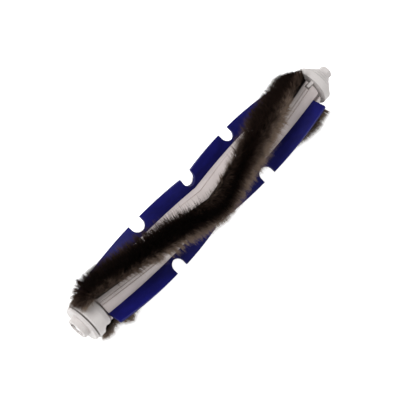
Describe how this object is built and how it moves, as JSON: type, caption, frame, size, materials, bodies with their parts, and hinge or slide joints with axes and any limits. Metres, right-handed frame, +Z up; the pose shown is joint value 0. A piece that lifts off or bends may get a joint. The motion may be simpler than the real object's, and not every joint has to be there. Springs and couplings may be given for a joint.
{
  "type": "robot vacuum roller brush",
  "caption": "Robot vacuum roller brush: V-shaped navy rubber blades and brown plush pile strips on a grey core, with a bearing cap at one end and a cone at the other.",
  "frame": {"origin": "on the spin axis, halfway between the bearing boss face and the drive tip", "axes": "+Y along the spin axis from the bearing cap to the drive tip, +Z up"},
  "size_m": [0.032, 0.18, 0.0328],
  "materials": {
    "cap_plastic": "satin",
    "core_plastic": "satin",
    "blade_rubber": "satin",
    "pile_fibre": "matte",
    "rail_plastic": "matte",
    "pin_steel": "turned",
    "bush_bronze": "turned",
    "washer_plastic": "smooth"
  },
  "bodies": {
    "bearing": {"bearing_cap": "cap_plastic", "bush": "bush_bronze"},
    "roller": {"axle_pin": "pin_steel", "push_nut": "pin_steel", "thrust_washer": "washer_plastic", "drum": "cap_plastic", "core": "core_plastic", "blade_a": "blade_rubber", "blade_b": "blade_rubber", "pile_rail_a": "rail_plastic", "pile_rail_b": "rail_plastic", "pile_a": "pile_fibre", "pile_b": "pile_fibre", "cone_cap": "cap_plastic"}
  },
  "joints": [
    {"name": "brush_spin", "type": "hinge", "parent": "bearing", "child": "roller", "pos_m": [0, 0, 0], "axis": [0, 1, 0], "continuous": true}
  ]
}
